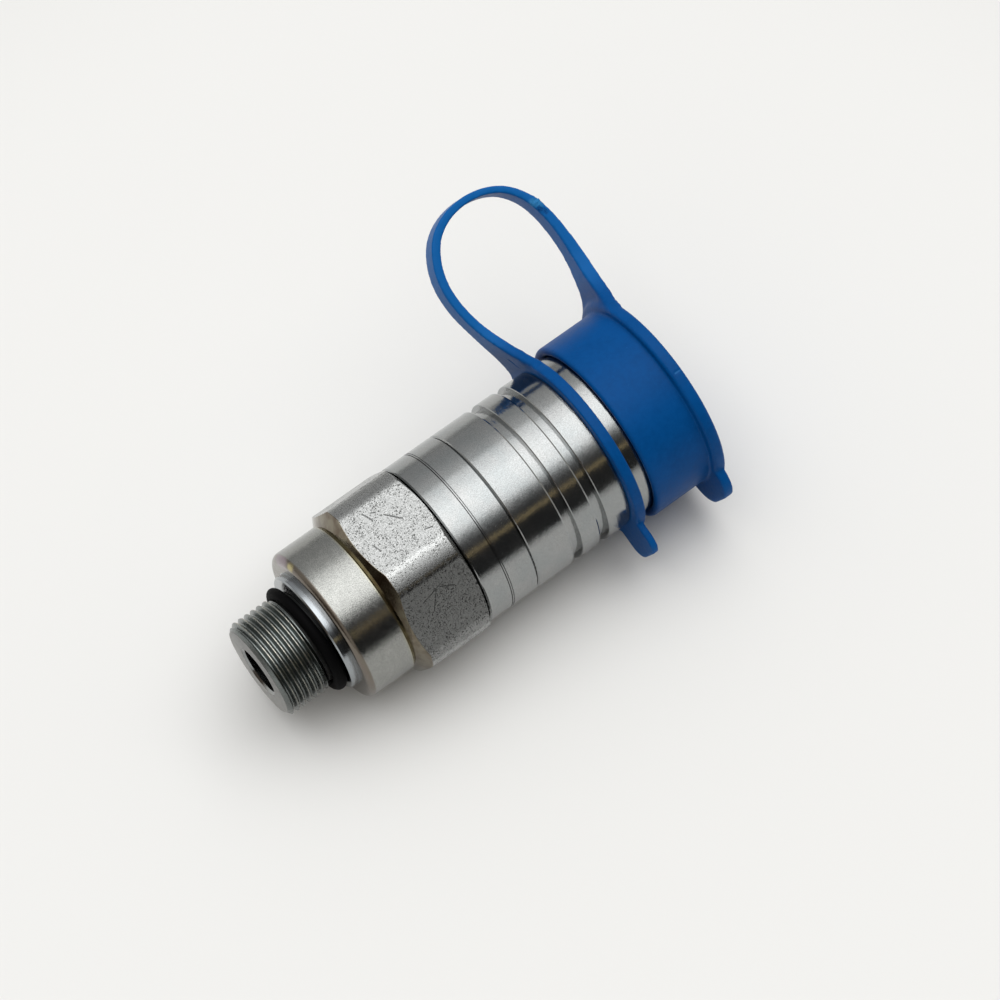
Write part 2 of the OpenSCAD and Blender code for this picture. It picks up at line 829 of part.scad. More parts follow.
// The strap seen along the axis: flared at its root and straight above.
module strap_front(disc_r, fillet) {
    root_outline(disc_r, fillet);
    translate([-strap_w / 2, 0])
        square([strap_w, loop_top + 10]);
}

module cap_strap() {
    split_x = (ring_x + flange_mid) / 2;
    reach = 40;
    color(blue_plastic)
        moulding_frame()
            intersection() {
                rotate([90, 0, 0])
                    translate([0, 0, -reach / 2])
                        linear_extrude(height = reach)
                            strap_profile();
                union() {
                    plate(split_x - reach, split_x)
                        strap_front(ring_r, ring_fillet);
                    plate(split_x, split_x + reach)
                        strap_front(flange_r, cap_fillet);
                }
            }
}

// Dust cap: a skirt over the sleeve's nose, an end disc, and a flange with the strap's root and a tab.
module dust_cap() {
    soft = 0.5;
    color(blue_plastic)
        moulding_frame()
            difference() {
                union() {
                    turned([
                        [lip_x, 0],
                        [lip_x, skirt_r - soft],
                        [lip_x + soft, skirt_r],
                        [flange_x, skirt_r],
                        [flange_x, flange_r - soft],
                        [flange_x + soft, flange_r],
                        [cap_end - soft, flange_r],
                        [cap_end, flange_r - soft],
                        [cap_end, 0]
                    ]);
                    plate(flange_x, flange_x + 0.75 * flange_t)
                        rotate(-tab_turn)
                            tab_outline(flange_r + cap_tab, cap_tab_w, 6);
                    strap_root(flange_x, cap_end, skirt_r - 2, flange_r, cap_fillet, cap_root, last_knot);
                }
                turned([
                    [lip_x - cut, 0],
                    [lip_x - cut, skirt_in_r + soft + cut],
                    [lip_x + soft, skirt_in_r],
                    [disc_x - 0.8, skirt_in_r],
                    [disc_x, skirt_in_r - 0.8],
                    [disc_x, 0]
                ]);
            }
}

stud_body();
stud_o_ring();
rear_shell();
shell_o_ring();
front_sleeve();
tail_o_ring();
tail_backup_ring();
socket();
locking_balls();
nose_o_ring();
nose_backup_ring();
tail_snap_ring();
spring_washer();
rear_centring_spring();
front_centring_spring();
valve_guide();
guide_snap_ring();
poppet();
poppet_seal();
poppet_spring();
strap_ring();
cap_strap();
dust_cap();
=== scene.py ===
import json
import math

import bmesh
import bpy
from mathutils import Matrix, Vector, noise


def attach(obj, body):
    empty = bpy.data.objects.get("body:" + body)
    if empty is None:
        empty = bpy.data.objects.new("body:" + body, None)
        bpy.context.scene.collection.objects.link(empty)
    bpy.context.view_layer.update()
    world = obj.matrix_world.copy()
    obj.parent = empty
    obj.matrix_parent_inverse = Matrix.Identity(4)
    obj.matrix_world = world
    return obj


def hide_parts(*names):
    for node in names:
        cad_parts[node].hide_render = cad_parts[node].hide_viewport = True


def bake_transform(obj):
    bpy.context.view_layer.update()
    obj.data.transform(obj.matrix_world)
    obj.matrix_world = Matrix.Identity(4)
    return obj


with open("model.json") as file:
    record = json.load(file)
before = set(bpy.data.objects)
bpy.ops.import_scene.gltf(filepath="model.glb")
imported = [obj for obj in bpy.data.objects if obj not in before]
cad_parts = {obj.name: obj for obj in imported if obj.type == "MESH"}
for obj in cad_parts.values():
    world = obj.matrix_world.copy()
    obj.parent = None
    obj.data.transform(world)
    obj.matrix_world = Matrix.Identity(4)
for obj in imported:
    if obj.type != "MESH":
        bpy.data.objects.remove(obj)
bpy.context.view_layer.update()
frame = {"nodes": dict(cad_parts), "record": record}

MM = 0.001
scene = bpy.context.scene
nodes = frame["nodes"]

# ---------------------------------------------------------------- camera
# The camera was fitted to the photograph, 1000 x 1000 pixels with its centre at (500, 500).
# START is a point on the part's axis, in mm from the camera, and the part's origin lies ORIGIN_AT further along.
# TURN and DIP give the axis, and ROLL the part's turn around it.
IMAGE_PX, FOCAL_PX, SENSOR_MM = 1000, 3770, 36
START = Vector((-0.0626, 0.04452, 1)) * 761.2
ORIGIN_AT = 8.9
TURN, DIP, ROLL = math.radians(35.278), math.radians(13.452), math.radians(25.65)

# In the camera's axes (right, down, away): along the part's axis, across it in the picture, and square to both.
along = Vector((math.cos(DIP) * math.cos(TURN), -math.cos(DIP) * math.sin(TURN), math.sin(DIP)))
across = Vector((math.sin(TURN), math.cos(TURN), 0))
toward = -along.cross(across)
part_x = along
part_z = math.cos(ROLL) * toward - math.sin(ROLL) * across
part_y = -math.sin(ROLL) * toward - math.cos(ROLL) * across
to_part = Matrix((part_x, part_y, part_z))
eye = to_part @ -(START + ORIGIN_AT * along)

camera = bpy.data.objects.new("camera", bpy.data.cameras.new("camera"))
scene.collection.objects.link(camera)
camera.data.sensor_width = SENSOR_MM
camera.data.lens = SENSOR_MM * FOCAL_PX / IMAGE_PX
camera.data.clip_start, camera.data.clip_end = 0.01, 20
axes = Matrix([to_part @ Vector(axis) for axis in ((1, 0, 0), (0, -1, 0), (0, 0, -1))])
camera.matrix_world = Matrix.Translation(eye * MM) @ axes.transposed().to_4x4()
scene.camera = camera
scene.view_settings.view_transform = "Standard"


# ---------------------------------------------------------------- node helpers
class Tree:
    """Builds a node tree with plain calls."""

    def __init__(self, tree):
        self.tree = tree
        self.tree.nodes.clear()

    def node(self, kind, **values):
        n = self.tree.nodes.new(kind)
        for name, value in values.items():
            setattr(n, name, value)
        return n

    def put(self, value, socket):
        """Links a socket to another or sets its value, and leaves it as it is for None."""
        if isinstance(value, bpy.types.NodeSocket):
            self.tree.links.new(value, socket)
        elif value is not None:
            size = len(socket.default_value) if hasattr(socket.default_value, "__len__") else 0
            if size and not hasattr(value, "__len__"):
                value = (value,) * size
            if size == 4 and len(value) == 3:
                value = (*value, 1)
            socket.default_value = value

    def fed(self, n, *values):
        """The node, with values put on its first inputs."""
        for value, socket in zip(values, n.inputs):
            self.put(value, socket)
        return n

    def math(self, op, a, b=None, clamp=False):
        return self.fed(self.node("ShaderNodeMath", operation=op, use_clamp=clamp), a, b).outputs[0]

    def add(self, a, b):
        return self.math("ADD", a, b)

    def sub(self, a, b):
        return self.math("SUBTRACT", a, b)

    def mul(self, a, b, *more):
        out = self.math("MULTIPLY", a, b)
        for factor in more:
            out = self.math("MULTIPLY", out, factor)
        return out

    def most(self, a, b):
        return self.math("MAXIMUM", a, b)

    def total(self, start, *products):
        """A start value plus the product of each pair."""
        for a, b in products:
            start = self.add(start, self.mul(a, b))
        return start

    def vec(self, op, a, b=None, out="Vector"):
        return self.fed(self.node("ShaderNodeVectorMath", operation=op), a, b).outputs[out]

    def xyz(self, x, y, z):
        return self.fed(self.node("ShaderNodeCombineXYZ"), x, y, z).outputs[0]

    def split(self, v):
        return self.fed(self.node("ShaderNodeSeparateXYZ"), v).outputs

    def stretch(self, at, x, y, z):
        return self.vec("MULTIPLY", at, (x, y, z))

    def scaled(self, v, factor):
        n = self.fed(self.node("ShaderNodeVectorMath", operation="SCALE"), v)
        n.inputs["Scale"].default_value = factor
        return n.outputs[0]

    def turned(self, at, axis, angle):
        n = self.node("ShaderNodeVectorRotate", rotation_type="AXIS_ANGLE")
        self.put(at, n.inputs["Vector"])
        n.inputs["Axis"].default_value = axis
        n.inputs["Angle"].default_value = angle
        return n.outputs[0]

    def mix(self, share, a, b):
        n = self.node("ShaderNodeMix", data_type="RGBA", clamp_factor=True)
        self.put(share, n.inputs[0])
        self.put(a, n.inputs[6])
        self.put(b, n.inputs[7])
        return n.outputs[2]

    def layered(self, colour, *layers):
        """A colour with others laid over it in turn, each by its own share."""
        for share, over in layers:
            colour = self.mix(share, colour, over)
        return colour

    def fade(self, value, low, high, to_low=0, to_high=1, kind="SMOOTHSTEP"):
        """to_low at low and before it, to_high at high and beyond it, smooth between."""
        n = self.node("ShaderNodeMapRange", interpolation_type=kind)
        return self.fed(n, value, low, high, to_low, to_high).outputs[0]

    def line(self, *values):
        """The same, straight between."""
        return self.fade(*values, kind="LINEAR")

    def band(self, value, at, half, soft):
        """1 within half of at, falling to 0 over soft."""
        off = self.math("ABSOLUTE", self.sub(value, at))
        return self.fade(off, half, half + soft, 1, 0)

    def window(self, value, low, high, soft):
        """1 from low to high, falling to 0 over soft outside them."""
        return self.mul(self.fade(value, low - soft, low), self.fade(value, high, high + soft, 1, 0))

    def near(self, at, a, b, half, soft=0.15):
        """1 within half of the line from a to b, falling to 0 over soft."""
        a, b = Vector(a), Vector(b)
        rel = self.vec("SUBTRACT", at, tuple(a))
        dot = self.vec("DOT_PRODUCT", rel, tuple(b - a), "Value")
        share = self.math("MULTIPLY", dot, 1 / (b - a).length_squared, clamp=True)
        foot = self.vec("MULTIPLY", self.xyz(share, share, share), tuple(b - a))
        return self.fade(self.vec("DISTANCE", rel, foot, "Value"), half, half + soft, 1, 0)

    def noise(self, at, scale, detail, rough):
        n = self.node("ShaderNodeTexNoise")
        self.put(at, n.inputs["Vector"])
        n.inputs["Scale"].default_value = scale
        n.inputs["Detail"].default_value = detail
        n.inputs["Roughness"].default_value = rough
        return n.outputs["Fac"]

    def ramp(self, value, stops):
        """The colours of the stops, straight between them."""
        n = self.node("ShaderNodeValToRGB")
        while len(n.color_ramp.elements) < len(stops):
            n.color_ramp.elements.new(0.5)
        for e, (at, colour) in zip(n.color_ramp.elements, stops):
            e.position = at
            e.color = (*colour, 1)
        self.put(value, n.inputs[0])
        return n.outputs[0]


def material(name):
    m = bpy.data.materials.new(name)
    m.use_nodes = True
    t = Tree(m.node_tree)
    out = t.node("ShaderNodeOutputMaterial")
    shader = t.node("ShaderNodeBsdfPrincipled")
    t.tree.links.new(shader.outputs[0], out.inputs["Surface"])
    return m, t, shader


def bump(t, shader, height, depth_mm):
    n = t.node("ShaderNodeBump")
    n.inputs["Strength"].default_value = 1
    n.inputs["Distance"].default_value = depth_mm * MM
    t.put(height, n.inputs["Height"])
    t.put(n.outputs[0], shader.inputs["Normal"])


def around(t):
    """Object position in mm, its three parts, and the radius from the axis."""
    at = t.scaled(t.node("ShaderNodeTexCoord").outputs["Object"], 1000)
    x, y, z = t.split(at)
    return at, x, y, z, t.math("SQRT", t.add(t.mul(y, y), t.mul(z, z)))


# ---------------------------------------------------------------- sizes
# Stations along the axis (X) and radii (R) of the stud, the collar, the hexagon and the shells, in mm.
PITCH, THREAD_R, ROOT_R = 1.5, 11.0, 10.08
TIP_X, TIP_R, GROOVE_R, BORE_R = -10.4, 9.8, 9.8, 5.25
SHOULDER_X, SHOULDER_R, COLLAR_X = 3.3, 13.5, 5.05
HEX_X, HEX_END_X, SCORED_X, SHELL_R = 16.2, 34.2, 39.3, 19.0
# The chamfer of the hexagon's corners.
CONE_R, CONE_SLOPE = 17.1, 1.732
# Across the axis, towards the side that is lowest in the photograph.
LOW = Vector((0, -0.901, -0.433))

# ---------------------------------------------------------------- materials
# Marks seen in the photograph, each from point to point in mm, with its half width.
FLAT_SCRATCHES = [
    [(26.3, 3.3, 19), (28.6, 0.3, 19), 0.1], [(22.9, 6.2, 19), (23.7, 3.8, 19), 0.08],
    [(24.4, 5.3, 19), (25.2, 4.9, 19), 0.07], [(20.4, -0.9, 19), (20.9, -2.9, 19), 0.07],
    [(30.6, -4.6, 19), (32.1, -5.0, 19), 0.07], [(26.5, -14.1, 13.5), (29.4, -15.0, 12.0), 0.06],
    [(22.0, -14.6, 12.6), (27.5, -13.8, 14.0), 0.05], [(23.2, -16.2, 9.9), (25.6, -14.2, 13.4), 0.05],
]
SEAM_NICK = [(33.7, -16.5, 9.5), (34.2, -16.5, 9.5), 0.25]
PURPLE_TINT = [(5.3, 10.6, 13.1), (5.3, 12.6, 11.2), 0.8]
YELLOW_TINT = [(5.4, 7.9, 14.9), (5.4, 7.4, 15.2), 0.3]


def plated_steel():
    m, t, s = material("plated_steel")
    at, x, y, z, radius = around(t)
    s.inputs["Metallic"].default_value = 1

    cloud = t.noise(at, 0.2, 3, 0.55)
    smear = t.noise(t.stretch(at, 0.8, 0.55, 0.55), 1, 5, 0.7)
    speck = t.noise(at, 6.5, 2, 0.6)
    grain = t.noise(at, 4, 3, 0.65)
    lathe = t.noise(t.stretch(at, 8, 0.12, 0.12), 1, 3, 0.6)
    wave = t.noise(t.stretch(at, 1.6, 0.5, 0.5), 1, 3, 0.6)

    # Where each surface is.
    stud_end = t.fade(x, TIP_X + 0.1, TIP_X + 0.04)
    thread = t.mul(
        t.fade(x, TIP_X + 0.04, TIP_X + 0.1), t.fade(x, -0.05, 0, 1, 0),
        t.fade(radius, GROOVE_R - 0.05, GROOVE_R + 0.15),
    )
    crest = t.mul(thread, t.fade(radius, THREAD_R - 0.07, THREAD_R - 0.01))
    groove = t.mul(
        t.window(x, -0.05, SHOULDER_X + 0.1, 0.05), t.fade(radius, GROOVE_R + 0.3, GROOVE_R + 0.6, 1, 0)
    )
    shoulder = t.mul(
        t.window(x, SHOULDER_X, COLLAR_X, 0.02), t.fade(radius, SHOULDER_R + 0.1, SHOULDER_R + 0.2, 1, 0)
    )
    collar = t.mul(t.window(x, COLLAR_X, HEX_X, 0.02), t.fade(radius, SHOULDER_R + 0.1, SHOULDER_R + 0.3))
    collar_front = t.mul(collar, t.fade(x, COLLAR_X + 1.05, COLLAR_X + 1.45, 1, 0))
    collar_rear = t.mul(collar, t.fade(x, HEX_X - 0.9, HEX_X - 0.1))
    cone_r = t.add(CONE_R, t.mul(t.sub(x, HEX_X), CONE_SLOPE))
    cone = t.mul(t.band(radius, cone_r, 0.12, 0.15), t.window(x, HEX_X, HEX_X + 2.2, 0.1))
    hexagon = t.mul(
        t.window(x, HEX_X + 1, HEX_END_X, 0.5), t.fade(radius, SHELL_R - 0.1, SHELL_R - 0.02), t.sub(1, cone)
    )
    # The flat that lies in shade: its colour and its pits are darkened below as painted shade, and its pits are
    # thicker.
    shaded_flat = t.mul(t.line(y, -10.5, -12), t.fade(z, -1, 0.5))
    sleeve = t.fade(x, HEX_END_X + 0.05, HEX_END_X + 0.1)
    scored = t.mul(
        t.window(x, SCORED_X, SCORED_X + 1, 0.05), t.fade(radius, SHELL_R - 0.07, SHELL_R - 0.03, 1, 0)
    )

    # Pits in the forged flats, thickest in a few patches.
    cluster = t.add(t.line(t.noise(at, 0.32, 3, 0.6), 0.36, 0.64, 0.08, 0.7), t.mul(shaded_flat, 0.42))
    ragged = t.vec("ADD", at, t.scaled(t.xyz(grain, speck, lathe), 0.35))
    pits = 0
    for scale, size in (3.4, 0.42), (1.7, 0.34):
        cell = t.node("ShaderNodeTexVoronoi")
        t.put(ragged, cell.inputs["Vector"])
        cell.inputs["Scale"].default_value = scale
        chance = t.split(cell.outputs["Color"])[0]
        dot = t.fade(cell.outputs["Distance"], size * 0.55, size, 1, 0)
        pits = t.most(pits, t.mul(dot, t.fade(t.sub(cluster, chance), 0, 0.04)))
    pits = t.mul(pits, hexagon)
    # Scratches, the photograph's own and finer ones all over.
    marks = 0
    for mark in FLAT_SCRATCHES:
        marks = t.most(marks, t.near(at, *mark))
    marks = t.mul(marks, t.line(grain, 0.35, 0.5, 0.2, 1))
    nick = t.near(at, *SEAM_NICK)
    slanted = t.turned(at, (0, 0, 1), math.radians(-38))
    scratch = t.noise(t.stretch(slanted, 0.3, 5, 2), 1, 2, 0.5)
    scratch = t.mul(t.fade(scratch, 0.7, 0.74), t.add(t.mul(hexagon, 0.8), 0.15))

    clean = t.mix(t.line(cloud, 0.35, 0.65), (0.31, 0.328, 0.328), (0.35, 0.356, 0.352))
    clean = t.mix(t.mul(t.line(speck, 0.38, 0.7), 0.8), clean, (0.19, 0.195, 0.195))
    dull = t.mix(t.line(smear, 0.3, 0.7), (0.29, 0.294, 0.277), (0.36, 0.362, 0.342))
    dull = t.mix(t.line(speck, 0.4, 0.68, 0, 0.85), dull, (0.15, 0.153, 0.144))
    forged = t.mix(t.line(speck, 0.36, 0.64), (0.46, 0.467, 0.462), (0.2, 0.205, 0.2))
    brown = t.mix(t.line(t.noise(at, 0.35, 2, 0.5), 0.4, 0.6), (0.11, 0.08, 0.05), (0.19, 0.165, 0.115))
    dark_thread = t.mix(t.line(grain, 0.35, 0.65), (0.2, 0.222, 0.215), (0.12, 0.13, 0.125))
    worn = t.line(t.noise(at, 1.3, 2, 0.5), 0.35, 0.6, 0.1, 0.8)
    # Painted shade: the thread is darkened towards its lower side.
    shaded_underside = t.line(t.vec("DOT_PRODUCT", at, tuple(LOW), "Value"), 3, 9)
    # Painted light and shade on the end face: darker towards +Z and lighter towards -Z, with a random smear over
    # it.
    shade_and_smear = t.add(t.line(z, 7, -7, 0, 0.85), t.line(smear, 0.35, 0.65, -0.25, 0.3))
    face = t.mix(shade_and_smear, (0.08, 0.079, 0.073), (0.31, 0.305, 0.29))
    colour = t.layered(
        clean,
        (t.mul(collar, 0.9), dull),
        (hexagon, forged),
        # Painted shade: the flat that lies in shade is darkened, and its pits with it.
        (t.mul(hexagon, shaded_flat, 0.6), (0.14, 0.142, 0.14)),
        (t.mul(pits, t.line(shaded_flat, 0, 1, 0.72, 0.97)), (0.024, 0.024, 0.024)),
        (t.mul(scratch, 0.7), (0.09, 0.09, 0.09)),
        (t.mul(cone, 0.95), brown),
        (t.mul(collar_front, 0.85), (0.15, 0.125, 0.1)),
        (t.mul(collar_front, t.near(at, *PURPLE_TINT, 1.6), 0.6), (0.3, 0.24, 0.29)),
        (t.mul(collar_front, t.near(at, *YELLOW_TINT, 1), 0.75), (0.5, 0.44, 0.22)),
        (t.mul(collar_rear, 0.6), (0.38, 0.35, 0.2)),
        (t.mul(shoulder, 0.6), (0.33, 0.36, 0.385)),
        (t.mul(thread, 0.95), dark_thread),
        (t.mul(crest, worn), (0.42, 0.4, 0.34)),
        (t.mul(thread, shaded_underside, 0.6), (0.06, 0.065, 0.062)),
        # Painted shade: the groove's floor beside the O-ring is darkened nearly to black.
        (t.mul(groove, 0.92), (0.02, 0.02, 0.02)),
        (t.mul(stud_end, 0.85), face),
        (t.most(t.most(t.mul(marks, 0.85), scored), nick), (0.05, 0.05, 0.05)),
    )
    t.put(colour, s.inputs["Base Color"])

    rough = t.total(
        t.line(cloud, 0.3, 0.7, 0.11, 0.17), (hexagon, 0.09), (collar, t.line(smear, 0.35, 0.7, 0, 0.06)),
        (pits, 0.25), (thread, 0.14), (groove, 0.4), (stud_end, 0.2), (cone, -0.05),
    )
    t.put(rough, s.inputs["Roughness"])

    coarse = t.total(0.2, (collar, 0.45), (hexagon, 0.2), (thread, 0.15), (shoulder, 0.15))
    rippled = t.total(0.5, (sleeve, 0.6), (hexagon, -0.4), (collar, 0.9))
    cuts = t.most(t.most(pits, scratch), t.most(marks, scored))
    height = t.total(
        t.mul(grain, coarse), (speck, t.mul(hexagon, 0.35)), (lathe, t.mul(t.sub(1, hexagon), 0.22)),
        (wave, rippled), (cuts, -0.9),
    )
    bump(t, s, height, 0.03)
    return m


def oiled_steel(name, base, rough):
    m, t, s = material(name)
    at = around(t)[0]
    s.inputs["Metallic"].default_value = 1
    fine = t.noise(at, 3, 4, 0.6)
    t.put(t.mix(t.line(fine, 0.3, 0.7), tuple(c * 0.85 for c in base), base), s.inputs["Base Color"])
    t.put(t.line(fine, 0.3, 0.7, rough * 0.85, rough * 1.15), s.inputs["Roughness"])
    bump(t, s, fine, 0.01)
    return m


def moulded(name, base, rough, specular):
    m, t, s = material(name)
    at = around(t)[0]
    s.inputs["Specular IOR Level"].default_value = specular
    cloud = t.noise(at, 0.12, 3, 0.6)
    fine = t.noise(at, 4, 4, 0.65)
    t.put(t.mix(t.line(cloud, 0.3, 0.7), tuple(c * 0.86 for c in base), base), s.inputs["Base Color"])
    t.put(t.line(fine, 0.3, 0.7, rough * 0.88, rough * 1.12), s.inputs["Roughness"])
    bump(t, s, fine, 0.01)
    return m


# The gate's mark at the top of the strap, whitened beside a dark nick, a crease at the strap's root, and one on
# the rim, as the marks above.
GATE_LIGHT, GATE_DARK = [(92.5, 39.7, 26.8), (93.9, 38.9, 26.4), 0.5], [(92.9, 38.0, 26.0), (93.7, 36.9, 25.3), 0.3]
ROOT_CREASE = [(69.1, 19.0, 12.7), (69.7, 15.6, 11.5), 0.1]
RIM_CREASE = [(90.8, -9.3, 20.7), (94.3, -9.3, 20.7), 0.12]


def blue_plastic():
    m, t, s = material("blue_plastic")
    at, *_, radius = around(t)
    s.inputs["Specular IOR Level"].default_value = 0.06
    cloud = t.noise(at, 0.12, 3, 0.6)
    mottle = t.noise(at, 0.9, 4, 0.7)
    fine = t.noise(at, 5, 3, 0.6)
    fleck = t.fade(t.noise(at, 2.2, 3, 0.7), 0.64, 0.7)
    streaks = t.noise(t.stretch(t.turned(at, (0.3, 0.8, 0.5), 0.7), 0.12, 4, 4), 1, 2, 0.5)
    scuff = t.mul(t.fade(streaks, 0.7, 0.78), t.fade(t.noise(at, 0.25, 2, 0.5), 0.5, 0.65))
    ragged = t.vec("ADD", at, t.scaled(t.xyz(mottle, fine, cloud), 1.6))
    gate = t.mul(t.near(ragged, *GATE_LIGHT, 0.7), t.line(fine, 0.35, 0.6, 0.35, 1))
    nick = t.mul(t.near(ragged, *GATE_DARK, 0.5), t.line(fine, 0.6, 0.4, 0.2, 1))
    crease = t.most(nick, t.near(at, *ROOT_CREASE))
    rim = t.near(at, *RIM_CREASE)
    # Painted light: the strap, far from the axis, is made a lighter blue, as if light shone through its plastic.
    painted_through_light = t.fade(radius, 23.5, 30)

    colour = t.layered(
        t.mix(t.line(cloud, 0.3, 0.7), (0.0002, 0.05, 0.19), (0.0003, 0.06, 0.228)),
        (t.line(mottle, 0.35, 0.75, 0, 0.5), (0.001, 0.072, 0.26)),
        (t.mul(fleck, 0.35), (0.0005, 0.045, 0.17)),
        (t.mul(painted_through_light, 0.75), (0.004, 0.11, 0.36)),
        (t.most(t.mul(scuff, 0.35), t.mul(rim, 0.5)), (0.03, 0.16, 0.4)),
        (t.mul(gate, 0.75), (0.04, 0.22, 0.43)),
        # Painted shade in the crease at the strap's root, and the dark nick beside the gate.
        (t.mul(crease, 0.8), (0.0005, 0.02, 0.1)),
    )
    t.put(colour, s.inputs["Base Color"])
    rough = t.total(t.line(mottle, 0.3, 0.7, 0.36, 0.46), (t.most(scuff, gate), 0.15))
    t.put(rough, s.inputs["Roughness"])
    dents = t.most(crease, t.mul(scuff, 0.25))
    bump(t, s, t.total(mottle, (fine, 0.35), (dents, -2.5)), 0.02)
    return m


LOOKS = {
    "plated_steel": plated_steel(),
    "spring_steel": oiled_steel("spring_steel", (0.22, 0.22, 0.23), 0.35),
    "polished_steel": oiled_steel("polished_steel", (0.75, 0.75, 0.76), 0.08),
    "black_rubber": moulded("black_rubber", (0.0022, 0.0022, 0.0025), 0.6, 0.03),
    "white_plastic": moulded("white_plastic", (0.8, 0.79, 0.75), 0.4, 0.4),
    "blue_plastic": blue_plastic(),
}
slots = {part["node"]: part["material_slot"] for part in frame["record"]["subparts"]}
for name, o in nodes.items():
    o.data.materials.clear()
    o.data.materials.append(LOOKS[slots[name]])


# ---------------------------------------------------------------- mesh helpers
def copied(*names):
    """A bmesh in mm with the meshes of CAD nodes, their doubled corners joined."""
    bm = bmesh.new()
    for name in names:
        bm.from_mesh(nodes[name].data)
    bmesh.ops.scale(bm, vec=(1000, 1000, 1000), verts=bm.verts)
    bmesh.ops.remove_doubles(bm, verts=bm.verts, dist=0.002)
    return bm


def piece(name, bm, slot, sharp):
    """An object from a bmesh in mm, with edges sharper than an angle kept sharp."""
    bmesh.ops.scale(bm, vec=(MM, MM, MM), verts=bm.verts)
    bmesh.ops.recalc_face_normals(bm, faces=bm.faces)
    mesh = bpy.data.meshes.new(name)
    bm.to_mesh(mesh)
    bm.free()
    if "custom_normal" in mesh.attributes:
        mesh.attributes.remove(mesh.attributes["custom_normal"])
    mesh.materials.append(LOOKS[slot])
    mesh.polygons.foreach_set("use_smooth", [True] * len(mesh.polygons))
    mesh.set_sharp_from_angle(angle=math.radians(sharp))
    o = bpy.data.objects.new(name, mesh)
    scene.collection.objects.link(o)
    return o


# ---------------------------------------------------------------- stud with its thread
# Corners around the thread, and the station in the groove where the CAD stud is cut.
ROUND, CUT_X = 144, 0.4
# Height above the root over one pitch, as [share of the pitch, share of the depth].
THREAD_FORM = [
    [0.00, 1.0], [0.055, 0.995], [0.09, 0.93], [0.17, 0.7], [0.27, 0.42], [0.36, 0.16],
    [0.42, 0.03], [0.50, 0.0], [0.58, 0.03], [0.64, 0.16], [0.73, 0.42], [0.83, 0.7],
    [0.91, 0.93], [0.945, 0.995],
]


def thread_radius(x, height):
    """The thread cut back by the chamfers at its two ends."""
    r = ROOT_R + (THREAD_R - ROOT_R) * height
    tip_chamfer = TIP_R + (x - TIP_X) * 1.2
    end_chamfer = GROOVE_R + 0.45 - x * 0.8
    return min(r, tip_chamfer, end_chamfer)


def add_thread(bm):
    """Adds the threaded stud, from its tip to the O-ring groove."""
    per_turn = len(THREAD_FORM)
    rows = per_turn * (int(-TIP_X / PITCH) + 3)
    columns = []
    for j in range(ROUND):
        a = 2 * math.pi * j / ROUND
        column = []
        for i in range(rows + per_turn):
            share, height = THREAD_FORM[i % per_turn]
            x = TIP_X - PITCH + PITCH * (i // per_turn + share - 1 + j / ROUND)
            at = min(max(x, TIP_X), 0)
            if at != x:
                # An end row keeps the thread's height where the end plane cuts it.
                height = cut_height(((at - x) / PITCH + share) % 1)
            r = thread_radius(at, height)
            column.append(bm.verts.new((at, r * math.cos(a), r * math.sin(a))))
        columns.append(column)
    for j in range(ROUND):
        here = columns[j]
        there = columns[(j + 1) % ROUND]
        shift = per_turn if j == ROUND - 1 else 0
        for i in range(rows + per_turn - 1 - shift):
            quad = [here[i], here[i + 1], there[i + 1 + shift], there[i + shift]]
            if len({tuple(round(c, 5) for c in v.co) for v in quad}) > 2:
                bm.faces.new(quad)


def cut_height(share):
    """The thread's height at a share of its pitch."""
    form = THREAD_FORM + [[1.0, 1.0]]
    for (s0, h0), (s1, h1) in zip(form, form[1:]):
        if s0 <= share <= s1:
            return h0 + (h1 - h0) * (share - s0) / (s1 - s0)
    return 1.0


def bearing(v):
    """Angle of a corner around the axis, from 0 to a full turn."""
    return math.atan2(v.co.z, v.co.y) % (2 * math.pi)


def ring_of(bm, x, r, angles):
    """A ring of corners, at the angles given."""
    return [bm.verts.new((x, r * math.cos(a), r * math.sin(a))) for a in angles]


def zip_rings(bm, one, two):
    """Joins two rings of corners around the axis, which may differ in number."""
    one, two = sorted(one, key=bearing), sorted(two, key=bearing)
    i = j = 0
    while i < len(one) or j < len(two):
        a, b = one[i % len(one)], two[j % len(two)]
        next_a = bearing(one[(i + 1) % len(one)]) + (2 * math.pi if i + 1 >= len(one) else 0)
        next_b = bearing(two[(j + 1) % len(two)]) + (2 * math.pi if j + 1 >= len(two) else 0)
        if i < len(one) and (j >= len(two) or next_a <= next_b):
            bm.faces.new((a, one[(i + 1) % len(one)], b))
            i += 1
        else:
            bm.faces.new((a, two[(j + 1) % len(two)], b))
            j += 1


def open_ring(bm, x, r):
    """The corners of the open edge near a radius at a station."""
    found = set()
    for e in bm.edges:
        if e.is_boundary and all(abs(v.co.x - x) < 0.01 and abs(math.hypot(*v.co.yz) - r) < 0.1 for v in e.verts):
            found.update(e.verts)
    return sorted(found, key=bearing)


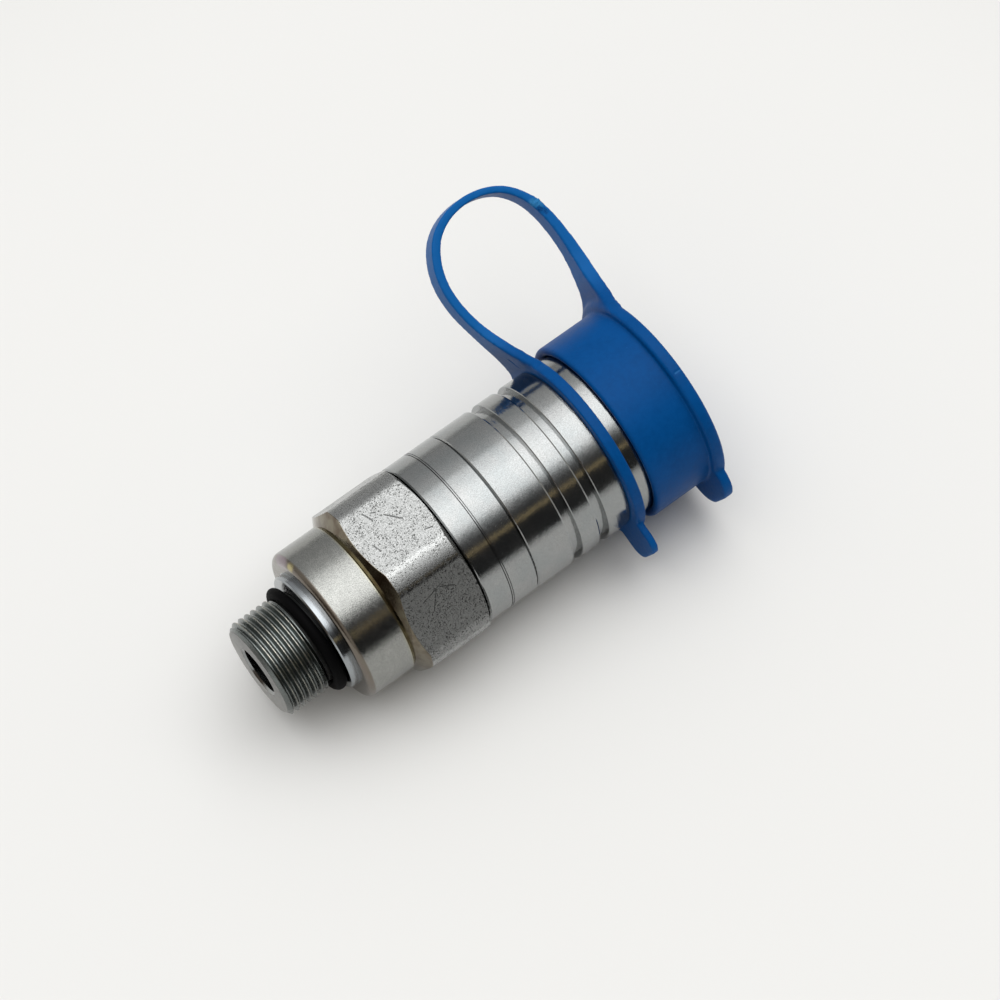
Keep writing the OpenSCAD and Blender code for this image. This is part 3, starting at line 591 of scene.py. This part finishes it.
def make_stud():
    """The stud's body, its plain thread replaced by the real one."""
    bm = copied("stud_body")
    whole = [*bm.verts, *bm.edges, *bm.faces]
    bmesh.ops.bisect_plane(bm, geom=whole, plane_co=(CUT_X, 0, 0), plane_no=(-1, 0, 0), clear_outer=True)
    outer = open_ring(bm, CUT_X, GROOVE_R)
    inner = open_ring(bm, CUT_X, BORE_R)

    extra = bmesh.new()
    add_thread(extra)
    bmesh.ops.remove_doubles(extra, verts=extra.verts, dist=0.0005)
    mesh = bpy.data.meshes.new("thread")
    extra.to_mesh(mesh)
    extra.free()
    old = set(bm.verts)
    bm.from_mesh(mesh)
    bpy.data.meshes.remove(mesh)
    new = [v for v in bm.verts if v not in old]
    tip = [v for v in new if abs(v.co.x - TIP_X) < 1e-4]
    end = [v for v in new if abs(v.co.x) < 1e-4]

    # The groove's wall, then the end face with its chamfer, and the bore.
    wall = ring_of(bm, 0, GROOVE_R, [bearing(v) for v in outer])
    zip_rings(bm, outer, wall)
    zip_rings(bm, wall, end)
    even = [2 * math.pi * j / ROUND for j in range(ROUND)]
    bore_angles = [bearing(v) for v in inner]
    chamfer = 0.5
    rings = [
        tip, *(ring_of(bm, TIP_X, r, even) for r in (9.0, 8.0, 7.0)),
        ring_of(bm, TIP_X, BORE_R + chamfer, bore_angles), ring_of(bm, TIP_X + chamfer, BORE_R, bore_angles), inner,
    ]
    for one, two in zip(rings, rings[1:]):
        zip_rings(bm, one, two)
    o = piece("stud", bm, "plated_steel", 28)
    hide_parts("stud_body")
    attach(o, "shell")


make_stud()


def make_o_ring():
    """The stud's O-ring, aslant in its groove and pressed against the shoulder on one side."""
    steps, corners = 96, 28
    bm = bmesh.new()
    loops = []
    for i in range(steps):
        a = 2 * math.pi * i / steps
        out = Vector((0, math.cos(a), math.sin(a)))
        pressed = (1 + out.dot(LOW)) / 2
        half_x, half_r = 1.12 + 0.3 * pressed, 1.3 + 0.12 * pressed
        centre_x, centre_r = 1.25 + 0.65 * pressed, GROOVE_R + half_r + 0.02
        loops.append([
            bm.verts.new((centre_x + half_x * math.cos(b), *(out.yz * (centre_r + half_r * math.sin(b)))))
            for b in (2 * math.pi * k / corners for k in range(corners))
        ])
    for one, two in zip(loops, loops[1:] + loops[:1]):
        for k in range(corners):
            after = (k + 1) % corners
            bm.faces.new((one[k], one[after], two[after], two[k]))
    o = piece("o_ring", bm, "black_rubber", 60)
    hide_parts("stud_o_ring")
    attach(o, "shell")


make_o_ring()

# ---------------------------------------------------------------- cap, strap and ring
# The three CAD solids are one moulding, so they are fused into one skin, softened, and cut apart again at the
# strap's roots, where they were split. ACROSS is the direction over the strap's width, and OUT the one it rises in.
ACROSS, OUT = Vector((0, 0.5006, -0.8658)), Vector((0, 0.8658, 0.5006))
# Stations between the strap's two legs and between the ring and the cap's lip, and the height of the two seams.
MIDWAY_X, GAP_X = 82.0, 74.7
RING_SEAM, CAP_SEAM = 22.0, 23.36
# Where the relaxing of the ring's root ends and that of the cap's begins.
ROOTS_APART_X = 74
# Blocks inside the roots, so that the skins join: their ends along the axis, then height and half width of foot
# and top. The one in front of the flange, down to the skirt, has a slanting front, given with its foot and top.
ROOT_BLOCKS = [(69.53, 71.64, (20.5, 6.9), (23.2, 6.05)), (91.33, 93.95, (21.5, 7.1), (24.6, 6.1))]
FLANGE_BLOCK, FLANGE_BACK = [(19.0, 7.2, 89.2), (23.6, 6.8, 91.25)], 93.0
VOXEL, SMOOTHINGS, RELAXINGS = 0.31, 7, 14
# The stub of the gate, with its reach and its height, and the creases with their depths and their reach.
GATE_AT, GATE_REACH, GATE_HEIGHT = Vector((92.8, 38.6, 26.2)), 1.9, 0.4
CREASES, CREASE_REACH = [(ROOT_CREASE, 0.22), (RIM_CREASE, 0.12)], 0.5


def add_block(bm, corners):
    """A six-sided block from its eight corners, given as (x, width, height) at the strap's roots."""
    v = [bm.verts.new(Vector((x, 0, 0)) + ACROSS * w + OUT * h) for x, w, h in corners]
    for face in (0, 1, 3, 2), (4, 6, 7, 5), (0, 4, 5, 1), (2, 3, 7, 6), (0, 2, 6, 4), (1, 5, 7, 3):
        bm.faces.new([v[i] for i in face])


def ease(value, low, high):
    """0 at low, 1 at high, smooth between."""
    share = min(max((value - low) / (high - low), 0), 1)
    return share * share * (3 - 2 * share)


def relax(verts, rounds):
    """Moves corners towards the mean of their neighbours, each by its own share, a number of times."""
    for _ in range(rounds):
        moved = [
            (v, sum((e.other_vert(v).co for e in v.link_edges), Vector()) / len(v.link_edges), share)
            for v, share in verts
        ]
        for v, mean, share in moved:
            v.co = v.co.lerp(mean, 0.5 * share)


def root_share(at):
    """How far a corner is relaxed: fully in the strap's roots, less around them."""
    wide, high = abs(at.dot(ACROSS)), at.dot(OUT)
    if at.x < ROOTS_APART_X:
        share = ease(high, 18.6, 20.2) * ease(high, 28, 23)
    else:
        share = ease(at.x, 88, 90) * ease(high, 19.8, 21.4) * ease(high, 30, 24.5)
    return share * ease(wide, 15, 12)


def fused_skin():
    """One soft mesh in mm from the CAD's ring, strap and cap."""
    bm = copied("strap_ring", "cap_strap", "dust_cap")
    for x0, x1, foot, top in ROOT_BLOCKS:
        add_block(bm, [(x, side * w, h) for x in (x0, x1) for side in (-1, 1) for h, w in (foot, top)])
    add_block(bm, [
        (front if at_front else FLANGE_BACK, side * w, h)
        for at_front in (True, False) for side in (-1, 1) for h, w, front in FLANGE_BLOCK
    ])
    bmesh.ops.recalc_face_normals(bm, faces=bm.faces)
    mesh = bpy.data.meshes.new("moulding")
    bm.to_mesh(mesh)
    bm.free()
    whole, target = (bpy.data.objects.new(name, mesh) for name in ("moulding", "target"))
    scene.collection.objects.link(whole)
    scene.collection.objects.link(target)
    remesh = whole.modifiers.new("skin", "REMESH")
    remesh.mode, remesh.voxel_size = "VOXEL", VOXEL
    # Back onto the sharp CAD surface, which evens out the steps of the voxels.
    snug = whole.modifiers.new("snug", "SHRINKWRAP")
    snug.wrap_method, snug.target = "NEAREST_SURFACEPOINT", target
    soft = whole.modifiers.new("soft", "SMOOTH")
    soft.factor, soft.iterations = 0.5, SMOOTHINGS
    skin = bpy.data.meshes.new_from_object(whole.evaluated_get(bpy.context.evaluated_depsgraph_get()))
    bpy.data.objects.remove(whole)
    bpy.data.objects.remove(target)
    bpy.data.meshes.remove(mesh)
    return skin


def make_moulding():
    """The ring, the strap and the cap, each cut from the one skin."""
    skin = fused_skin()
    bm = bmesh.new()
    bm.from_mesh(skin)
    bpy.data.meshes.remove(skin)
    shares = ((v, root_share(v.co)) for v in bm.verts)
    relax([(v, share) for v, share in shares if share > 0.01], RELAXINGS)
    bm.normal_update()
    mark_moulding(bm)
    for seam, side in (RING_SEAM, -1), (CAP_SEAM, 1):
        near = [f for f in bm.faces if side * (f.calc_center_median().x - MIDWAY_X) > 0]
        geom = list(dict.fromkeys(x for f in near for x in (*f.verts, *f.edges, f)))
        bmesh.ops.bisect_plane(bm, geom=geom, plane_co=OUT * seam, plane_no=OUT)

    def part_of(f):
        c = f.calc_center_median()
        if c.dot(OUT) > (RING_SEAM if c.x < MIDWAY_X else CAP_SEAM):
            return "strap"
        return "ring" if c.x < GAP_X else "cap"

    made = {}
    for name in "strap", "cap", "ring":
        own = bm.copy()
        bmesh.ops.delete(own, geom=[f for f in own.faces if part_of(f) != name], context="FACES")
        bmesh.ops.holes_fill(own, edges=[e for e in own.edges if e.is_boundary], sides=0)
        made[name] = piece(name, own, "blue_plastic", 60)
    bm.free()
    return made


def mark_moulding(bm):
    """Raises the gate's stub on the strap, and presses in the creases at its root and on the cap's rim."""
    for v in bm.verts:
        far = (v.co - GATE_AT).length / GATE_REACH
        if far < 1:
            v.co += v.normal * GATE_HEIGHT * (1 - far ** 2) * (0.5 + noise.noise(v.co * 1.6))
        for (a, b, _), depth in CREASES:
            a, b = Vector(a), Vector(b)
            share = min(max((v.co - a).dot(b - a) / (b - a).length_squared, 0), 1)
            off = (v.co - a.lerp(b, share)).length
            if off < CREASE_REACH:
                v.co -= v.normal * depth * (1 - off / CREASE_REACH)


moulding = make_moulding()
strap, cap, ring = moulding["strap"], moulding["cap"], moulding["ring"]
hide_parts("cap_strap")
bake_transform(strap)
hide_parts("dust_cap")
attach(cap, "cap")
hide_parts("strap_ring")
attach(ring, "tether")

# ---------------------------------------------------------------- floor and light
# The coupler lies on its hexagon and on the cap's rim, and touches the floor at these two points.
REST_LOW, REST_FAR = Vector((17.3, 0, -19.0)), Vector((90.1, 0, -22.7))
# In metres: the floor's width, the centre of a painted pool of light on it, and how far from that it turns grey.
FLOOR_SIZE, PAINTED_POOL_CENTRE, PALE_TO, GREY_FROM = 3, (0.03, 0, 0), 0.14, 0.46
slope = math.atan2(REST_LOW.z - REST_FAR.z, REST_FAR.x - REST_LOW.x)
bpy.ops.mesh.primitive_plane_add(size=FLOOR_SIZE)
floor = bpy.context.object
floor.name = "floor"
floor.matrix_world = Matrix.Translation(REST_LOW * MM) @ Matrix.Rotation(slope, 4, "Y")
m, t, s = material("floor")
# Painted light: the floor is pale in a pool around the object and greyer farther off.
from_spot = t.vec("SUBTRACT", t.node("ShaderNodeTexCoord").outputs["Object"], PAINTED_POOL_CENTRE)
far = t.fade(t.vec("LENGTH", from_spot, out="Value"), PALE_TO, GREY_FROM)
t.put(t.mix(far, (0.72, 0.72, 0.71), (0.38, 0.38, 0.375)), s.inputs["Base Color"])
s.inputs["Roughness"].default_value = 0.9
s.inputs["Specular IOR Level"].default_value = 0.2
floor.data.materials.append(m)

# Radiance against the angle around the axis: a softbox over the object, a dark room in front of it.
TOP = 3.0
ROOM_LIGHT = [
    [-180, 0.35], [-118, 0.4], [-112, 0.5], [-100, 0.53], [-90, 0.6], [-80, 0.7], [-71, 0.88], [-64, 1.0],
    [-61.5, 1.6], [-54, 1.95], [-46, 2.3], [-38, 2.6], [-30, 2.85], [-16, 2.75], [-2, 2.35], [2, 1.8], [6, 1.1],
    [12.7, 0.37], [20, 0.11], [28, 0.07], [30.5, (0.3, 0.25, 0.16)], [32.5, (0.62, 0.46, 0.23)],
    [34.5, (0.3, 0.25, 0.16)], [36, 0.04], [66, 0.035], [72, 0.3], [180, 0.35],
]


def dimmed(level):
    """A radiance, grey or coloured, as a share of TOP."""
    return tuple(c / TOP for c in (level if isinstance(level, tuple) else (level,) * 3))


world = bpy.data.worlds.new("studio")
scene.world = world
world.use_nodes = True
t = Tree(world.node_tree)
out = t.node("ShaderNodeOutputWorld")
background = t.node("ShaderNodeBackground")
t.tree.links.new(background.outputs[0], out.inputs["Surface"])
look = t.node("ShaderNodeTexCoord").outputs["Generated"]
lift = t.vec("DOT_PRODUCT", look, tuple(to_part @ toward), "Value")
side = t.vec("DOT_PRODUCT", look, tuple(to_part @ across), "Value")
axial = t.split(look)[0]
swing = t.mul(t.math("ARCTAN2", side, lift), 180 / math.pi)
light = t.ramp(t.line(swing, -180, 180), [((a + 180) / 360, dimmed(level)) for a, level in ROOM_LIGHT])
# The softbox ends before the axis. Beyond it the room is plain, and dark brown past the stud.
inside = t.mul(t.fade(axial, -0.55, -0.4), t.fade(axial, 0.62, 0.75, 1, 0))
room = t.mix(t.fade(axial, -0.92, -0.78), dimmed((0.13, 0.1, 0.08)), dimmed((0.6, 0.58, 0.54)))
t.put(t.mix(inside, room, light), background.inputs["Color"])
background.inputs["Strength"].default_value = TOP
